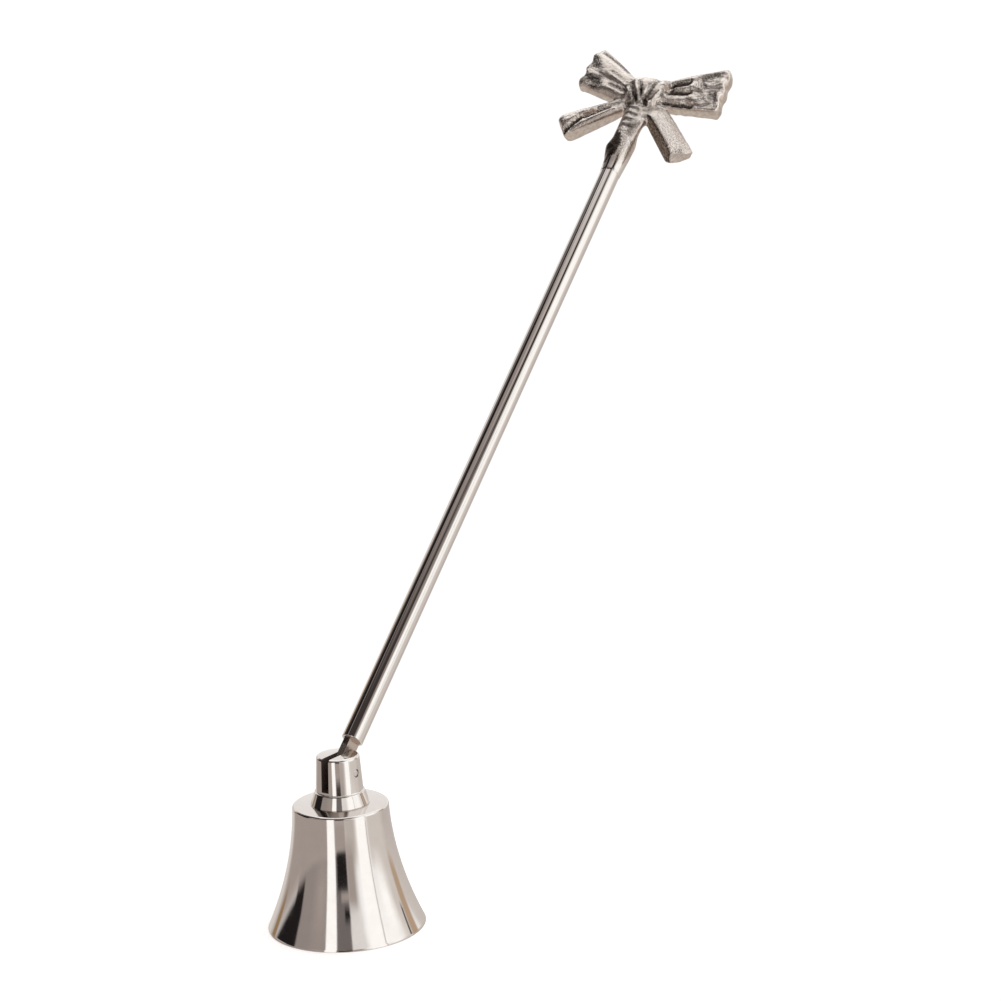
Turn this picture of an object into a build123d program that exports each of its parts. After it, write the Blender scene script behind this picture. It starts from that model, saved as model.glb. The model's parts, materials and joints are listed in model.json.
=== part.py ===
"""Hinged candle snuffer with a cast bow finial.

Millimetres. The origin is the centre of the bell's rim, on the plane that the bell
stands on. Z is the bell's axis, Y is the hinge pin's axis, and the handle leans
towards +X, as far as it leans in the photograph.
"""
from build123d import *
import os
from math import copysign, cos, pi, radians, sin, sqrt

# Bell
bell_rim_radius = 21.45
bell_top_radius = 13.04
bell_height = 34.6
bell_wall = 4.6
bell_rim_wall = 3.0
bell_crown = 6.2
bell_shoulder_round = 0.8
skirt_lean = 0.66

# Hinge post on top of the bell
flange_radius = 7.97
flange_top_radius = 7.5
flange_height = 3.7
flange_round = 0.8
post_root_radius = 6.4
post_top_radius = 5.86
post_height = 13.6
post_round = 0.9
slot_width = 2.3
slot_floor = 4.6

# Hinge pin
pin_height = 9.1
pin_radius = 1.0
pin_inset = 0.1
pin_end_chamfer = 0.2
pin_seat_clearance = 0.02
pin_running_clearance = 0.04

# Screw that holds the post, put in from inside the bell
screw_radius = 2.0
screw_head_radius = 3.6
screw_head_height = 2.3
screw_head_chamfer = 0.7
screw_drive_width = 1.0
screw_drive_depth = 1.1
thread_clearance = 0.05
screw_hole_clearance = 0.2
screw_end_gap = 0.3
tapped_hole_web = 0.6
washer_radius = 3.9
washer_thickness = 1.0
washer_split = 0.6

# Handle
handle_lean = 45.5
tube_radius = 3.0
tube_wall = 0.6
tube_start = 9.2
tube_end_chamfer = 0.25
tongue_thickness = 2.1
tongue_spigot_depth = 14.0
tongue_spigot_chamfer = 0.5
spigot_clearance = 0.05

# Bow finial, measured from the middle of the knot
knot_distance = 234.8
bow_twist = 14.0
socket_depth = 15.5
socket_clearance = 0.05
socket_end_gap = 0.1
stem_length = 30.2
stem_mouth_radius = 3.3
stem_taper_length = 12.0
stem_radius = 3.8
shoulder_drop = 8.0
shoulder_offset = 1.5
shoulder_radius = 3.6
shoulder_end_radius = 2.4
shoulder_half_height = 7.0
swell_drop = 20.5
swell_offset = 1.5
swell_radius = 3.3
swell_end_radius = 2.0
swell_half_height = 5.4

knot_offset = 1.2
knot_half_width = 7.0
knot_half_height = 5.2
knot_half_depth = 4.6
knot_fold_depth = 0.3
knot_fold_count = 7
knot_fold_slant = 26.0
knot_tilt = -4.0

loop_root = 4.0
loop_root_high = 5.5
loop_root_half_depth = 2.3
loop_half_depth = 2.7
loop_fold_depth = 0.7
loop_ridges = 3
right_loop_reach = 24.3
right_loop_root_low = -3.6
right_loop_low = -1.9
right_loop_high = 15.2
right_loop_scallop = 0.5
right_loop_slant = 0.7
left_loop_reach = 21.0
left_loop_root_low = -4.6
left_loop_low = -0.6
left_loop_high = 15.1
left_loop_scallop = 1.2
left_loop_slant = 1.4

tail_root = 4.0
tail_root_half_depth = 2.2
tail_half_width = 3.9
tail_half_depth = 2.9
tail_scallop = 0.3
tail_slant = 0.2
left_tail_reach = 26.6
left_tail_root_drop = 0.4
left_tail_root_half_width = 1.9
left_tail_angle = 38.5
left_tail_fold_depth = 0.9
left_tail_ridges = 2
right_tail_reach = 25.6
right_tail_root_drop = 1.0
right_tail_root_half_width = 3.5
right_tail_angle = 42.5
right_tail_roll = 17.0
right_tail_fold_depth = 0.5
right_tail_ridges = 1

cut_overrun = 1.0

# Worked out from the sizes above
post_base = bell_height
pin_z = post_base + pin_height
tapped_depth = slot_floor - tapped_hole_web
screw_reach = tapped_depth - screw_end_gap
crown_underside = bell_height - bell_crown
tube_inner_radius = tube_radius - tube_wall
spigot_radius = tube_inner_radius - spigot_clearance
socket_top = -(stem_length - socket_depth)
tube_end = knot_distance + socket_top - socket_end_gap
knot_place = Pos(0, 0, knot_distance)
handle_place = Pos(0, 0, pin_z) * Rot(0, handle_lean, 0)

# Places along a ribbon from its root to its outer end, and how far its width and depth
# have grown there from the root's to the outer ones. The last pair rounds the end over.
ribbon_station_shares = (0.0, 0.22, 0.45, 0.7, 0.93, 1.0)
ribbon_spread_shares = (0.0, 0.26, 0.52, 0.77, 1.0, 0.86)
ribbon_depth_shares = (0.0, 0.5, 0.84, 1.0, 1.0, 0.15)
points_on_a_fold = 4

# Up the knot: the height, and the girth there, as shares of its half sizes
knot_height_shares = (-1.0, -0.62, 0.0, 0.62, 1.0)
knot_girth_shares = (0.56, 0.82, 1.0, 1.0, 0.74)
knot_squareness_share = 0.62


def between(start, finish, share):
    return start + (finish - start) * share


def revolved(outline):
    return revolve(Plane.XZ * make_face(outline), Axis.Z)


def broken_corner(radius, height, size):
    """Outline points that round a top outer corner with two flats."""
    middle = size * (1 - sqrt(1 / 2))
    return [(radius, height - size), (radius - middle, height - middle), (radius - size, height)]


def make_bell_cup():
    """Bell with a flared skirt that straightens as it climbs, bored to a plain taper."""
    corner = broken_corner(bell_top_radius, bell_height, bell_shoulder_round)
    skirt_line = Bezier((bell_rim_radius, 0), (bell_top_radius + skirt_lean, bell_height / 2), corner[0])
    shell = revolved(skirt_line + Polyline(*corner, (0, bell_height), (0, 0), (bell_rim_radius, 0)))
    cavity = revolved(Polyline((0, 0), (bell_rim_radius - bell_rim_wall, 0),
                               (bell_top_radius - bell_wall, crown_underside),
                               (0, crown_underside), close=True))
    hole_radius = screw_radius + screw_hole_clearance
    hole = Pos(0, 0, crown_underside - cut_overrun) * Cylinder(
        hole_radius, bell_crown + 2 * cut_overrun, align=(Align.CENTER, Align.CENTER, Align.MIN))
    return shell - cavity - hole


def make_hinge_post():
    post = revolved(Polyline((0, 0), (flange_radius, 0),
                             *broken_corner(flange_top_radius, flange_height, flange_round),
                             (post_root_radius, flange_height),
                             *broken_corner(post_top_radius, post_height, post_round),
                             (0, post_height), close=True))
    slot_height = post_height - slot_floor + cut_overrun
    post -= Pos(0, 0, slot_floor) * Box(2 * flange_radius, slot_width, slot_height,
                                        align=(Align.CENTER, Align.CENTER, Align.MIN))
    pin_bore = Cylinder(pin_radius + pin_seat_clearance, 2 * flange_radius)
    post -= Pos(0, 0, pin_height) * Rot(90, 0, 0) * pin_bore
    post -= Cylinder(screw_radius + thread_clearance, tapped_depth,
                     align=(Align.CENTER, Align.CENTER, Align.MIN))
    return Pos(0, 0, post_base) * post


def make_hinge_pin():
    """Plain pin whose ends stop just under the post's tapered sides."""
    taper_share = (pin_height - flange_height) / (post_height - flange_height)
    post_radius = between(post_root_radius, post_top_radius, taper_share)
    pin = Cylinder(pin_radius, 2 * (post_radius - pin_inset))
    pin = chamfer(pin.edges().filter_by(GeomType.CIRCLE), pin_end_chamfer)
    return Pos(0, 0, pin_z) * Rot(90, 0, 0) * pin


def make_post_screw():
    head_top = crown_underside - washer_thickness
    shank_length = washer_thickness + bell_crown + screw_reach
    head = Cylinder(screw_head_radius, screw_head_height, align=(Align.CENTER, Align.CENTER, Align.MAX))
    head = chamfer(head.edges().group_by(Axis.Z)[0], screw_head_chamfer)
    shank = Cylinder(screw_radius, shank_length, align=(Align.CENTER, Align.CENTER, Align.MIN))
    drive = Pos(0, 0, -screw_head_height) * Box(
        2 * screw_head_radius + cut_overrun, screw_drive_width, screw_drive_depth,
        align=(Align.CENTER, Align.CENTER, Align.MIN))
    return Pos(0, 0, head_top) * (head + shank - drive)


def make_spring_washer():
    ring = Cylinder(washer_radius, washer_thickness, align=(Align.CENTER, Align.CENTER, Align.MAX))
    ring -= Cylinder(screw_radius + screw_hole_clearance, 3 * washer_thickness)
    split = Box(2 * washer_radius, washer_split, 3 * washer_thickness,
                align=(Align.MIN, Align.CENTER, Align.CENTER))
    return Pos(0, 0, crown_underside) * (ring - split)


def make_hinge_tongue():
    """Flat blade with a round eye on the pin, turning into a spigot inside the tube."""
    eye = Rot(90, 0, 0) * Cylinder(spigot_radius, tongue_thickness)
    blade = Box(2 * spigot_radius, tongue_thickness, tube_start,
                align=(Align.CENTER, Align.CENTER, Align.MIN))
    spigot = Cylinder(spigot_radius, tongue_spigot_depth, align=(Align.CENTER, Align.CENTER, Align.MIN))
    spigot = chamfer(spigot.edges().group_by(Axis.Z)[-1], tongue_spigot_chamfer)
    tongue = eye + blade + Pos(0, 0, tube_start) * spigot
    bore = Cylinder(pin_radius + pin_running_clearance, 2 * tongue_thickness)
    return handle_place * (tongue - Rot(90, 0, 0) * bore)


def make_handle_tube():
    tube_length = tube_end - tube_start
    tube = Cylinder(tube_radius, tube_length, align=(Align.CENTER, Align.CENTER, Align.MIN))
    tube = chamfer(tube.edges().group_by(Axis.Z)[0], tube_end_chamfer)
    tube -= Cylinder(tube_inner_radius, 2 * (tube_length + cut_overrun))
    return handle_place * Pos(0, 0, tube_start) * tube


def two_triangles(a, b, c, d):
    return [(a, b, c), (a, c, d)]


def faceted(rings):
    """Solid of small flat faces through closed rings of points, each with as many points."""
    triangles = []
    for ring, following in zip(rings, rings[1:]):
        for i in range(len(ring)):
            triangles += two_triangles(ring[i - 1], ring[i], following[i], following[i - 1])
    for ring in (rings[0], rings[-1][::-1]):
        for i in range(len(ring) // 2 - 1):
            triangles += two_triangles(ring[i], ring[i + 1], ring[-2 - i], ring[-1 - i])
    return Solid(Shell([Face(Wire.make_polygon(corners, close=True)) for corners in triangles]))


def make_ribbon(root, reach, root_edges, outer_edges, root_half_depth, half_depth, fold_depth,
                ridges, scallop, slant):
    """Pleated ribbon along +X between two edges. Its ridges end further out than its grooves,
    and its low edge further out than its high edge."""
    steps = points_on_a_fold * ridges
    rings = []
    for station, spread, depth_share in zip(ribbon_station_shares, ribbon_spread_shares,
                                            ribbon_depth_shares):
        low, high = [between(inner, outer, spread) for inner, outer in zip(root_edges, outer_edges)]
        ridge_depth = between(root_half_depth, half_depth, depth_share)
        front, back = [], []
        for step in range(steps + 1):
            groove = (1 + cos(2 * pi * ridges * step / steps)) / 2
            end = reach - scallop * groove + slant * (1 - step / steps)
            x = between(root, end, station)
            y = ridge_depth - fold_depth * groove
            z = between(low, high, step / steps)
            front.append((x, -y, z))
            back.append((x, y, z))
        rings.append(front + back[::-1])
    return faceted(rings)


def make_loop(reach, root_low, low, high, scallop, slant):
    """One loop of the bow, to the right of the knot, fanning out."""
    return make_ribbon(loop_root, reach, (root_low, loop_root_high), (low, high),
                       loop_root_half_depth, loop_half_depth, loop_fold_depth, loop_ridges,
                       scallop, slant)


def make_tail(reach, root_drop, root_half_width, angle, fold_depth, ridges, roll=0):
    """One tail of the bow, to the right of the stem, hanging at this angle. A roll turns its
    front up and outwards."""
    tail = make_ribbon(tail_root, reach, (-root_half_width, root_half_width),
                       (-tail_half_width, tail_half_width), tail_root_half_depth, tail_half_depth,
                       fold_depth, ridges, tail_scallop, tail_slant)
    return Pos(0, 0, -root_drop) * Rot(0, angle, 0) * Rot(-roll, 0, 0) * tail


def make_knot():
    """Barrel of wrapped ribbon, with folds that slant as they climb."""
    steps = points_on_a_fold * knot_fold_count
    rings = []
    for height, girth in zip(knot_height_shares, knot_girth_shares):
        ring = []
        for step in range(steps):
            turn = 2 * pi * step / steps
            slant = radians(knot_fold_slant) * height
            ripple = knot_fold_depth * cos(knot_fold_count * (turn - slant))
            x_share = copysign(abs(cos(turn)) ** knot_squareness_share, cos(turn))
            y_share = copysign(abs(sin(turn)) ** knot_squareness_share, sin(turn))
            ring.append((x_share * girth * (knot_half_width + ripple),
                         y_share * girth * (knot_half_depth + ripple),
                         knot_half_height * height))
        rings.append(ring)
    return Pos(knot_offset, 0, 0) * Rot(0, knot_tilt, 0) * faceted(rings)


def make_swelling(radius, end_radius, half_height):
    """Upright spindle, thickest at its middle."""
    return revolved(Polyline((0, -half_height), (end_radius, -half_height), (radius, 0),
                             (end_radius, half_height), (0, half_height), close=True))


def make_stem():
    """Stem that tapers down onto the tube, with a cast swelling low on its left side and a
    shoulder on its right side, under the knot."""
    stem = revolved(Polyline((0, -stem_length), (stem_mouth_radius, -stem_length),
                             (stem_radius, stem_taper_length - stem_length),
                             (stem_radius, 0), (0, 0), close=True))
    swelling = make_swelling(swell_radius, swell_end_radius, swell_half_height)
    shoulder = make_swelling(shoulder_radius, shoulder_end_radius, shoulder_half_height)
    stem += Pos(-swell_offset, 0, -swell_drop) * swelling
    return stem + Pos(shoulder_offset, 0, -shoulder_drop) * shoulder


def make_bow_finial():
    right_loop = make_loop(right_loop_reach, right_loop_root_low, right_loop_low, right_loop_high,
                           right_loop_scallop, right_loop_slant)
    left_loop = make_loop(left_loop_reach, left_loop_root_low, left_loop_low, left_loop_high,
                          left_loop_scallop, left_loop_slant)
    left_loop = mirror(left_loop, Plane.YZ)
    right_tail = make_tail(right_tail_reach, right_tail_root_drop, right_tail_root_half_width,
                           right_tail_angle, right_tail_fold_depth, right_tail_ridges,
                           right_tail_roll)
    left_tail = make_tail(left_tail_reach, left_tail_root_drop, left_tail_root_half_width,
                          left_tail_angle, left_tail_fold_depth, left_tail_ridges)
    left_tail = mirror(left_tail, Plane.YZ)
    bow = make_stem() + make_knot() + right_loop + left_loop + right_tail + left_tail
    socket = Pos(0, 0, socket_top) * Cylinder(
        tube_radius + socket_clearance, socket_depth + cut_overrun,
        align=(Align.CENTER, Align.CENTER, Align.MAX))
    # The bow is drawn with its front towards -Y, and its right hand towards +X
    quarter_turn = -90
    return handle_place * knot_place * Rot(0, 0, quarter_turn + bow_twist) * (bow - socket)


makers = {
    "bell_cup": make_bell_cup,
    "hinge_post": make_hinge_post,
    "hinge_pin": make_hinge_pin,
    "post_screw": make_post_screw,
    "spring_washer": make_spring_washer,
    "hinge_tongue": make_hinge_tongue,
    "handle_tube": make_handle_tube,
    "bow_finial": make_bow_finial,
}

os.makedirs("parts", exist_ok=True)
for name, maker in makers.items():
    shape = maker()
    export_step(shape, f"parts/{name}.step")
    box = shape.bounding_box()
    print(name, len(shape.solids()), "solid", round(shape.volume, 1), "mm3", box.min, box.max)
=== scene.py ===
# %% [markdown]
# # A candle snuffer in bright nickel
# The real snuffer is a turned bell, a slotted post, a drawn tube and a rough-cast bow, all
# plated with nickel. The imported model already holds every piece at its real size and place.
# In this lesson each piece gets a smooth mesh and a real finish, and then a studio to stand in.

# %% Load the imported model
import json
import math

import bpy
import numpy as np
from mathutils import Matrix, Vector


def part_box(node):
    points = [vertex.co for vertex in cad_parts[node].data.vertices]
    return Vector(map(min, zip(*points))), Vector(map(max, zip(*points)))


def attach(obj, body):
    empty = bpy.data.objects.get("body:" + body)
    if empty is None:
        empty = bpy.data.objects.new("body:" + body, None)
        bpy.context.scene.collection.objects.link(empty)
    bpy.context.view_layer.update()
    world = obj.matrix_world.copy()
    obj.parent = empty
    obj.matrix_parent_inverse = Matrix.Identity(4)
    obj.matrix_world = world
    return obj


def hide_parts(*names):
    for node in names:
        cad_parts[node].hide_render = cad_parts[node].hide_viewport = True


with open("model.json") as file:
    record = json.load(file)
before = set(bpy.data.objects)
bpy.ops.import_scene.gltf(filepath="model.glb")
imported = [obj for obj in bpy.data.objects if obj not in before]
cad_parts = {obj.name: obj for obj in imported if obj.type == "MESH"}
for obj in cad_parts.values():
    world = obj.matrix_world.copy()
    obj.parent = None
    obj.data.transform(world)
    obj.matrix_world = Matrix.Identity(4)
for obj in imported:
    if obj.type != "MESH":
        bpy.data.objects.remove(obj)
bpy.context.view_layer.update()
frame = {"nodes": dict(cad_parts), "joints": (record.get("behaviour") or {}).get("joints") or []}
mm = 0.001

# %% [markdown]
# ## The camera
# A studio camera with a long lens looks a little down on the snuffer and is tipped a few
# degrees. It comes first, because the later choices were matched to the photograph. Its place
# and its own right and up directions are written down, and the matrix is made of those.

# %% Set the camera
camera_place = Vector((-559.10, -445.12, 275.14)) * mm
camera_right = Vector((0.56223, -0.82590, -0.04229))
camera_up = Vector((0.20356, 0.08865, 0.97504))
camera_back = camera_right.cross(camera_up)

bpy.ops.object.select_all(action="DESELECT")
bpy.ops.object.camera_add()
camera = bpy.context.object
camera.name = "studio_camera"
camera.data.lens = 100
camera.data.sensor_width = 36
turned_to_view = Matrix((camera_right, camera_up, camera_back)).transposed().to_4x4()
camera.matrix_world = Matrix.Translation(camera_place) @ turned_to_view
bpy.context.scene.camera = camera
bpy.context.scene.view_settings.view_transform = "Standard"
print("camera is", round(camera_place.length / mm), "mm from the bell's rim")

# %% [markdown]
# ## Helpers for turned pieces
# A lathe makes most of this object: the bell, the post, the pin, the screw and the tube. A
# lathe cuts one outline round an axis, so the helper does the same: one point is extruded along
# the outline in edit mode, and Spin carries it round. A cylinder with bevels would also do for
# the pin, but not for the flared bell, and one way for all keeps their edges alike.

# %% Helpers for turning
turning_steps = 192
merge_gap = 0.0005 * mm
smooth_angle = math.radians(32)


def arc(centre, radius, start, end, count=6):
    """Points of a rounded corner of an outline, from one angle in degrees to another."""
    angles = [math.radians(start + (end - start) * i / count) for i in range(count + 1)]
    return [(centre[0] + radius * math.cos(a), centre[1] + radius * math.sin(a)) for a in angles]


def start_mesh(name):
    """A new piece in edit mode, with a single vertex at the origin."""
    bpy.ops.object.select_all(action="DESELECT")
    bpy.ops.mesh.primitive_plane_add(size=mm)
    piece = bpy.context.object
    piece.name = name
    bpy.ops.object.mode_set(mode="EDIT")
    bpy.ops.mesh.merge(type="CENTER")
    return piece


def close_mesh():
    """Merges the seam and the poles, and turns every face outwards."""
    bpy.ops.mesh.select_all(action="SELECT")
    bpy.ops.mesh.remove_doubles(threshold=merge_gap)
    bpy.ops.mesh.normals_make_consistent(inside=False)
    bpy.ops.object.mode_set(mode="OBJECT")
    bpy.ops.object.shade_smooth_by_angle(angle=smooth_angle)


def turned(name, outline, steps=turning_steps):
    """Spins an outline of (radius, height) points round the Z axis."""
    piece = start_mesh(name)
    radius, height = outline[0]
    bpy.ops.transform.translate(value=(radius, 0, height))
    for (r0, z0), (r1, z1) in zip(outline, outline[1:]):
        step = (r1 - r0, 0, z1 - z0)
        bpy.ops.mesh.extrude_vertices_move(TRANSFORM_OT_translate={"value": step})
    bpy.ops.mesh.select_all(action="SELECT")
    bpy.ops.mesh.spin(steps=steps, angle=2 * math.pi, center=(0, 0, 0), axis=(0, 0, 1))
    close_mesh()
    return piece


def put(piece, place):
    """Moves a piece to its place and applies it, so the object itself stays at the origin."""
    bpy.ops.object.select_all(action="DESELECT")
    piece.select_set(True)
    bpy.context.view_layer.objects.active = piece
    piece.matrix_world = place
    bpy.ops.object.transform_apply(location=True, rotation=True, scale=True)
    return piece


def combine(piece, tool, operation):
    """Cuts a tool out of a piece, or joins it on, and removes the tool."""
    modifier = piece.modifiers.new("combine", "BOOLEAN")
    modifier.operation = operation
    modifier.solver = "EXACT"
    modifier.object = tool
    bpy.ops.object.select_all(action="DESELECT")
    piece.select_set(True)
    bpy.context.view_layer.objects.active = piece
    bpy.ops.object.modifier_apply(modifier=modifier.name)
    bpy.data.objects.remove(tool)
    bpy.ops.object.shade_smooth_by_angle(angle=smooth_angle)


def block(name, low, high):
    """A box tool between two corners."""
    bpy.ops.object.select_all(action="DESELECT")
    bpy.ops.mesh.primitive_cube_add(size=1)
    tool = bpy.context.object
    tool.name = name
    low, high = Vector(low), Vector(high)
    spread = Matrix.Diagonal((*(high - low), 1))
    return put(tool, Matrix.Translation((low + high) / 2) @ spread)


# %% [markdown]
# ## The bell
# The bell is turned from brass: a skirt that flares to the rim, a small round at the shoulder,
# a flat crown and a plain tapered bore with a hole for the screw. The skirt is one smooth bend,
# so a quadratic curve through three points gives it, close enough together that the reflections
# run without a kink.

# %% Turn the bell
bell_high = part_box("bell_cup")[1]
rim_radius = bell_high.x
bell_height = bell_high.z
bell_top_radius = 13.04 * mm
shoulder_round = 0.8 * mm
skirt_lean = 0.66 * mm
bell_wall = 4.6 * mm
rim_wall = 3.0 * mm
crown_thickness = 6.2 * mm
rim_edge = 0.3 * mm
bore_round = 1.2 * mm
screw_hole_radius = 2.2 * mm
skirt_points = 56


def skirt(start, bend, end, count):
    """Points on a quadratic curve."""
    shares = [i / count for i in range(count + 1)]
    return [
        tuple((1 - t) ** 2 * a + 2 * t * (1 - t) * b + t * t * c for a, b, c in zip(start, bend, end))
        for t in shares
    ]


skirt_foot = (rim_radius, rim_edge)
skirt_bend = (bell_top_radius + skirt_lean, bell_height / 2)
skirt_top = (bell_top_radius, bell_height - shoulder_round)
bore_foot = (rim_radius - rim_wall, rim_edge)
bore_top = bell_height - crown_thickness
bore_top_radius = bell_top_radius - bell_wall
shoulder_centre = (bell_top_radius - shoulder_round, bell_height - shoulder_round)

bell_outline = [(screw_hole_radius, bell_height), (screw_hole_radius, bore_top)]
bell_outline += arc((bore_top_radius - bore_round, bore_top - bore_round), bore_round, 90, 22)
bell_outline += [bore_foot]
bell_outline += arc((rim_radius - rim_wall + rim_edge, rim_edge), rim_edge, 200, 270, 4)
bell_outline += arc((rim_radius - rim_edge, rim_edge), rim_edge, 270, 345, 5)
bell_outline += skirt(skirt_foot, skirt_bend, skirt_top, skirt_points)
bell_outline += arc(shoulder_centre, shoulder_round, 4, 90, 8)
bell_outline += [bell_outline[0]]
bell = turned("bell", bell_outline, steps=256)
print("bell:", len(bell.data.polygons), "faces,", round(rim_radius * 2 / mm, 2), "mm across")

# %% [markdown]
# ## The hinge post
# The post is turned with a flange at its foot, then slotted for the tongue and cross-drilled
# for the pin. Here too the slot and the holes are cut after turning, with Boolean, and the
# slot's edges then get the small bevel that a file or a tumbler leaves.

# %% Turn and slot the post
hinge = Vector(frame["joints"][0]["pos_m"])
post_low, post_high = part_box("hinge_post")
post_foot = post_low.z
flange_radius = post_high.x
post_height = post_high.z - post_low.z
flange_top_radius = 6.85 * mm
flange_height = 3.7 * mm
flange_round = 0.5 * mm
post_root_radius = 6.4 * mm
post_top_radius = 5.86 * mm
post_round = 0.9 * mm
root_fillet = 0.35 * mm
slot_width = 2.3 * mm
slot_floor = 4.6 * mm
slot_edge = 0.14 * mm
tapped_hole_radius = 2.05 * mm
tapped_hole_depth = 4.0 * mm
pin_hole_radius = 1.1 * mm
overrun = 2 * mm

post_outline = [(0, tapped_hole_depth), (tapped_hole_radius, tapped_hole_depth), (tapped_hole_radius, 0)]
post_outline += [(flange_radius - rim_edge, 0), (flange_radius, rim_edge)]
post_outline += arc((flange_top_radius - flange_round, flange_height - flange_round), flange_round, 15, 90)
post_outline += arc((post_root_radius + root_fillet, flange_height + root_fillet), root_fillet, 270, 183, 4)
post_outline += arc((post_top_radius - post_round, post_height - post_round), post_round, 3, 90, 8)
post_outline += [(0, post_height)]
post = turned("hinge_post_turned", post_outline)
put(post, Matrix.Translation((0, 0, post_foot)))

slot_low = (-flange_radius, -slot_width / 2, post_foot + slot_floor)
slot_high = (flange_radius, slot_width / 2, post_high.z + overrun)
combine(post, block("slot_cutter", slot_low, slot_high), "DIFFERENCE")

drill_length = 2 * flange_radius
across_the_slot = Matrix.Translation(hinge) @ Matrix.Rotation(math.radians(90), 4, "X")
drill_outline = [(0, -drill_length / 2), (pin_hole_radius, -drill_length / 2)]
drill_outline += [(pin_hole_radius, drill_length / 2), (0, drill_length / 2)]
combine(post, put(turned("pin_drill", drill_outline, 64), across_the_slot), "DIFFERENCE")
print("post:", len(post.data.polygons), "faces, slot", round(slot_width / mm, 2), "mm wide")


# %% Break the slot's sharp edges
def choose_edges(piece, wanted):
    """Leaves a piece in edit mode with only the edges selected whose two end points are wanted."""
    bpy.ops.object.select_all(action="DESELECT")
    piece.select_set(True)
    bpy.context.view_layer.objects.active = piece
    bpy.ops.object.mode_set(mode="EDIT")
    bpy.ops.mesh.select_mode(type="EDGE")
    bpy.ops.mesh.select_all(action="DESELECT")
    bpy.ops.object.mode_set(mode="OBJECT")
    corners = piece.data.vertices
    for edge in piece.data.edges:
        edge.select = wanted(*(corners[i].co for i in edge.vertices))
    bpy.ops.object.mode_set(mode="EDIT")


def bevel_edges(piece, wanted, width, segments=3):
    """Bevels the chosen edges and says how many there were."""
    choose_edges(piece, wanted)
    count = piece.data.total_edge_sel
    bpy.ops.mesh.bevel(offset=width, segments=segments, affect="EDGES", clamp_overlap=True)
    bpy.ops.mesh.select_mode(type="VERT")
    bpy.ops.object.mode_set(mode="OBJECT")
    bpy.ops.object.shade_smooth_by_angle(angle=smooth_angle)
    return count


def on_slot_lip(*ends):
    """True for an edge between a wall of the slot and the outside of the post."""
    for point in ends:
        on_wall = abs(abs(point.y) - slot_width / 2) < merge_gap * 10
        inside_x = abs(point.x) < pin_hole_radius * 2 and point.z < post_high.z - merge_gap
        if not on_wall or inside_x or point.z < post_foot + slot_floor + merge_gap:
            return False
    return True


print("slot edges bevelled:", bevel_edges(post, on_slot_lip, slot_edge))

# %% [markdown]
# ## The pin, the screw and the washer
# A plain pin crosses the slot and ends just under the post's skin, with slightly domed ends. A
# screw comes up from inside the bell and holds the post, over a split spring washer. They are
# turned like the rest, and a block cuts the screw's slot and the washer's split.

# %% Turn the pin
pin_low, pin_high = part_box("hinge_pin")
pin_radius = (pin_high.z - pin_low.z) / 2
pin_half_length = pin_high.y
pin_dome = 0.12 * mm
pin_edge = 0.2 * mm
pin_outline = [(0, -pin_half_length), (pin_radius - pin_edge, pin_dome - pin_half_length)]
pin_outline += [(pin_radius, pin_dome + pin_edge - pin_half_length)]
pin_outline += [(r, -z) for r, z in reversed(pin_outline)]
pin = put(turned("hinge_pin_turned", pin_outline, 64), across_the_slot)
print("pin:", round(2 * pin_half_length / mm, 2), "mm long")

# %% Turn the screw and cut its slot
screw_low, screw_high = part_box("post_screw")
washer_low, washer_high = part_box("spring_washer")
screw_head_radius = screw_high.x
screw_radius = 2.0 * mm
screw_head_round = 0.7 * mm
drive_width = 1.0 * mm
drive_depth = 1.1 * mm
screw_outline = [(0, screw_low.z), (screw_head_radius - screw_head_round, screw_low.z)]
screw_outline += arc((screw_head_radius - screw_head_round, screw_low.z + screw_head_round),
                     screw_head_round, 270, 360)
screw_outline += [(screw_head_radius, washer_low.z), (screw_radius, washer_low.z)]
screw_outline += [(screw_radius, screw_high.z - screw_radius / 4)]
screw_outline += [(screw_radius * 3 / 4, screw_high.z), (0, screw_high.z)]
screw = turned("post_screw_turned", screw_outline, 96)
drive_low = (-screw_head_radius * 2, -drive_width / 2, screw_low.z - overrun)
drive_high = (screw_head_radius * 2, drive_width / 2, screw_low.z + drive_depth)
combine(screw, block("drive_cutter", drive_low, drive_high), "DIFFERENCE")

# %% Turn the washer and split it
washer_radius = -washer_low.x
washer_bore = 2.1 * mm
washer_split = 0.6 * mm
washer_edge = 0.12 * mm
washer_outline = [(washer_bore, washer_low.z), (washer_radius - washer_edge, washer_low.z)]
washer_outline += [(washer_radius, washer_low.z + washer_edge), (washer_radius, washer_high.z - washer_edge)]
washer_outline += [(washer_radius - washer_edge, washer_high.z), (washer_bore, washer_high.z)]
washer_outline += [washer_outline[0]]
washer = turned("spring_washer_turned", washer_outline, 96)
split_low = (0, -washer_split / 2, washer_low.z - overrun)
split_high = (washer_radius * 2, washer_split / 2, washer_high.z + overrun)
combine(washer, block("split_cutter", split_low, split_high), "DIFFERENCE")
print("screw and washer:", len(screw.data.polygons), "and", len(washer.data.polygons), "faces")

# %% [markdown]
# ## The tongue and the tube
# The tongue is a flat blade with a round eye on the pin and a spigot that is pressed into the
# tube. It starts as a cube: its two lower corners are bevelled until they meet as a half round,
# which is the eye, and a turned spigot is joined on. The tube is a ring, turned like the bell.
# Both are modelled upright and then leaned over together, as the handle leans at rest.

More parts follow.
